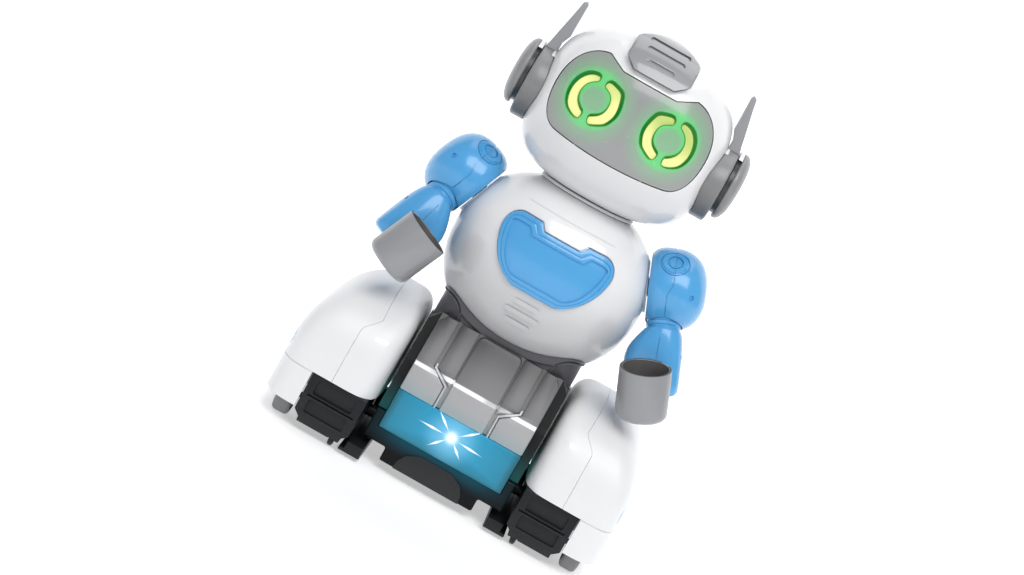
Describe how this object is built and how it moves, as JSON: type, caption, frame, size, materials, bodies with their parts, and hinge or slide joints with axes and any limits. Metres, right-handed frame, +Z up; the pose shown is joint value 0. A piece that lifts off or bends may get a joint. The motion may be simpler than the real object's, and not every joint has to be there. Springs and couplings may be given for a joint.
{
  "type": "walking robot toy",
  "caption": "Battery walking robot toy: egg-shaped head and torso, swinging arms with cup hands, and two cranked legs in white fenders.",
  "frame": {"origin": "on the ground at the middle of the footprint", "axes": "+Z up, the face looks along -Y, +X towards the robot's own left side"},
  "size_m": [0.1472, 0.0926, 0.2],
  "materials": {
    "white_shell": "glossy white moulded shell",
    "grey_trim": "glossy mid grey",
    "dark_grey_trim": "satin dark grey",
    "blue_plastic": "glossy sky blue",
    "black_plastic": "satin black",
    "eye_light_guide": "lit yellow-green light guide",
    "bar_light_guide": "lit cyan-blue translucent lens",
    "circuit_board": "green solder mask",
    "cell_metal": "smooth metal can",
    "steel": "plain steel",
    "nylon": "natural nylon"
  },
  "bodies": {
    "chassis": {"torso_front_shell": "white_shell", "torso_rear_shell": "white_shell", "neck_tube": "black_plastic", "neck_collar": "white_shell", "chest_badge": "blue_plastic", "waist_collar": "dark_grey_trim", "battery_door": "white_shell", "battery_cell_1": "cell_metal", "battery_cell_2": "cell_metal", "battery_cell_3": "cell_metal", "main_board": "circuit_board", "speaker": "steel", "lower_front_panel": "grey_trim", "lower_rear_panel": "grey_trim", "light_bar": "bar_light_guide", "base_tub": "black_plastic", "drive_motor": "steel"},
    "head": {"head_front_shell": "white_shell", "head_rear_shell": "white_shell", "face_panel": "grey_trim", "vent_plate": "grey_trim", "right_eye_outer_arc": "eye_light_guide", "right_eye_inner_arc": "eye_light_guide", "left_eye_inner_arc": "eye_light_guide", "left_eye_outer_arc": "eye_light_guide", "eye_board": "circuit_board", "left_ear_base": "grey_trim", "right_ear_base": "grey_trim", "left_ear_dome": "grey_trim", "right_ear_dome": "grey_trim", "left_antenna_fin": "grey_trim", "right_antenna_fin": "grey_trim"},
    "switch": {"power_switch": "black_plastic"},
    "worm": {"motor_worm": "nylon"},
    "drive_crank": {"drive_crank_shaft": "black_plastic"},
    "idler_crank": {"idler_crank_shaft": "black_plastic"},
    "left_upper_arm": {"left_shoulder_inner": "blue_plastic", "left_shoulder_outer": "blue_plastic"},
    "left_lower_arm": {"left_forearm": "blue_plastic", "left_hand_cup": "grey_trim"},
    "left_leg": {"left_fender_outer": "white_shell", "left_fender_inner": "white_shell", "left_leg_cap": "blue_plastic", "left_tread_shoe": "black_plastic", "left_sole_block": "black_plastic"},
    "left_sole_wheel": {"left_sole_wheel": "black_plastic"},
    "left_front_roller": {"left_front_roller": "grey_trim"},
    "left_rear_roller": {"left_rear_roller": "grey_trim"},
    "right_upper_arm": {"right_shoulder_inner": "blue_plastic", "right_shoulder_outer": "blue_plastic"},
    "right_lower_arm": {"right_forearm": "blue_plastic", "right_hand_cup": "grey_trim"},
    "right_leg": {"right_fender_outer": "white_shell", "right_fender_inner": "white_shell", "right_leg_cap": "blue_plastic", "right_tread_shoe": "black_plastic", "right_sole_block": "black_plastic"},
    "right_sole_wheel": {"right_sole_wheel": "black_plastic"},
    "right_front_roller": {"right_front_roller": "grey_trim"},
    "right_rear_roller": {"right_rear_roller": "grey_trim"}
  },
  "joints": [
    {"name": "head_turn", "type": "hinge", "parent": "chassis", "child": "head", "pos_m": [0, 0, 0.1305], "axis": [0, 0, 1], "range_deg": [-45, 45]},
    {"name": "left_shoulder_swing", "type": "hinge", "parent": "chassis", "child": "left_upper_arm", "pos_m": [0.0468, 0, 0.1134], "axis": [-0.9205, 0, -0.3907], "range_deg": [-2, 60]},
    {"name": "right_shoulder_swing", "type": "hinge", "parent": "chassis", "child": "right_upper_arm", "pos_m": [-0.0468, 0, 0.1134], "axis": [-0.9205, 0, 0.3907], "range_deg": [-13, 47]},
    {"name": "left_forearm_twist", "type": "hinge", "parent": "left_upper_arm", "child": "left_lower_arm", "pos_m": [0.05097, -0.0065, 0.1005], "axis": [0.3907, 0, -0.9205], "range_deg": [-12, 12]},
    {"name": "right_forearm_twist", "type": "hinge", "parent": "right_upper_arm", "child": "right_lower_arm", "pos_m": [-0.05026, -0.00937, 0.10217], "axis": [-0.3807, -0.225, -0.8969], "range_deg": [-4, 18]},
    {"name": "power_switch_slide", "type": "slide", "parent": "chassis", "child": "switch", "axis": [1, 0, 0], "range_m": [-0.002, 0.002]},
    {"name": "crank_spin", "type": "hinge", "parent": "chassis", "child": "drive_crank", "pos_m": [0, -0.018, 0.0155], "axis": [1, 0, 0], "continuous": true},
    {"name": "idler_spin", "type": "hinge", "parent": "chassis", "child": "idler_crank", "pos_m": [0, 0.018, 0.0155], "axis": [1, 0, 0], "continuous": true},
    {"name": "worm_spin", "type": "hinge", "parent": "chassis", "child": "worm", "pos_m": [0, -0.018, 0.0283], "axis": [0, 1, 0], "continuous": true},
    {"name": "left_leg_crank", "type": "hinge", "parent": "drive_crank", "child": "left_leg", "pos_m": [0.037, -0.0155, 0.0155], "axis": [1, 0, 0], "continuous": true},
    {"name": "right_leg_crank", "type": "hinge", "parent": "drive_crank", "child": "right_leg", "pos_m": [-0.037, -0.0205, 0.0155], "axis": [1, 0, 0], "continuous": true},
    {"name": "left_sole_wheel_spin", "type": "hinge", "parent": "left_leg", "child": "left_sole_wheel", "pos_m": [0.0402, -0.0329, 0.0044], "axis": [1, 0, 0], "continuous": true},
    {"name": "left_front_roller_spin", "type": "hinge", "parent": "left_leg", "child": "left_front_roller", "pos_m": [0.064, -0.0255, 0.0098], "axis": [1, 0, 0], "continuous": true},
    {"name": "left_rear_roller_spin", "type": "hinge", "parent": "left_leg", "child": "left_rear_roller", "pos_m": [0.064, 0.0305, 0.0098], "axis": [1, 0, 0], "continuous": true},
    {"name": "right_sole_wheel_spin", "type": "hinge", "parent": "right_leg", "child": "right_sole_wheel", "pos_m": [-0.0402, -0.0379, 0.0044], "axis": [1, 0, 0], "continuous": true},
    {"name": "right_front_roller_spin", "type": "hinge", "parent": "right_leg", "child": "right_front_roller", "pos_m": [-0.064, -0.0305, 0.0098], "axis": [1, 0, 0], "continuous": true},
    {"name": "right_rear_roller_spin", "type": "hinge", "parent": "right_leg", "child": "right_rear_roller", "pos_m": [-0.064, 0.0255, 0.0098], "axis": [1, 0, 0], "continuous": true}
  ],
  "couplings": [
    {"joint": "idler_spin", "follows": "crank_spin", "ratio": 1},
    {"joint": "left_leg_crank", "follows": "crank_spin", "ratio": -1},
    {"joint": "right_leg_crank", "follows": "crank_spin", "ratio": -1},
    {"joint": "worm_spin", "follows": "crank_spin", "ratio": 20}
  ]
}
